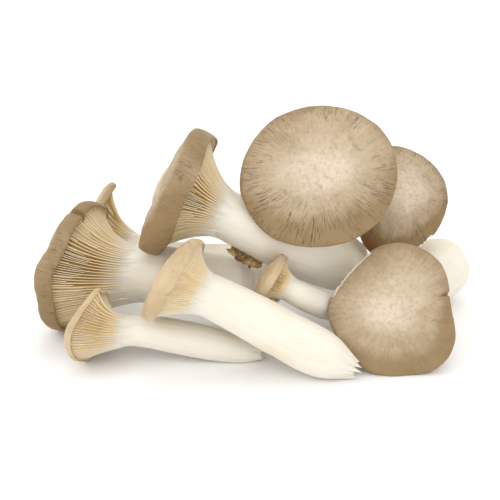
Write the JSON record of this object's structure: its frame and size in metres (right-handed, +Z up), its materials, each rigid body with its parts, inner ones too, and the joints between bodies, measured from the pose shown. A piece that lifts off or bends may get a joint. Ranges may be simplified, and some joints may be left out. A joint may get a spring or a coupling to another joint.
{
  "type": "king oyster mushroom cluster",
  "caption": "Heap of fresh king oyster mushrooms lying on a surface, with taupe caps, gilled funnels and thick pale stems.",
  "frame": {"origin": "middle of the heap's outline seen from above, on the surface it lies on", "axes": "+X along the heap's longest side, from the gilled caps towards the round caps; +Y towards its back; +Z up"},
  "size_m": [0.2014, 0.1517, 0.1059],
  "materials": {
    "mushroom_flesh": null
  },
  "bodies": {
    "root": {"upper_left_mushroom": "mushroom_flesh", "large_left_mushroom": "mushroom_flesh", "low_left_mushroom": "mushroom_flesh", "front_centre_mushroom": "mushroom_flesh", "small_middle_mushroom": "mushroom_flesh", "front_right_mushroom": "mushroom_flesh", "top_round_mushroom": "mushroom_flesh", "rear_right_mushroom": "mushroom_flesh", "back_left_mushroom": "mushroom_flesh", "back_middle_mushroom": "mushroom_flesh"}
  },
  "joints": []
}
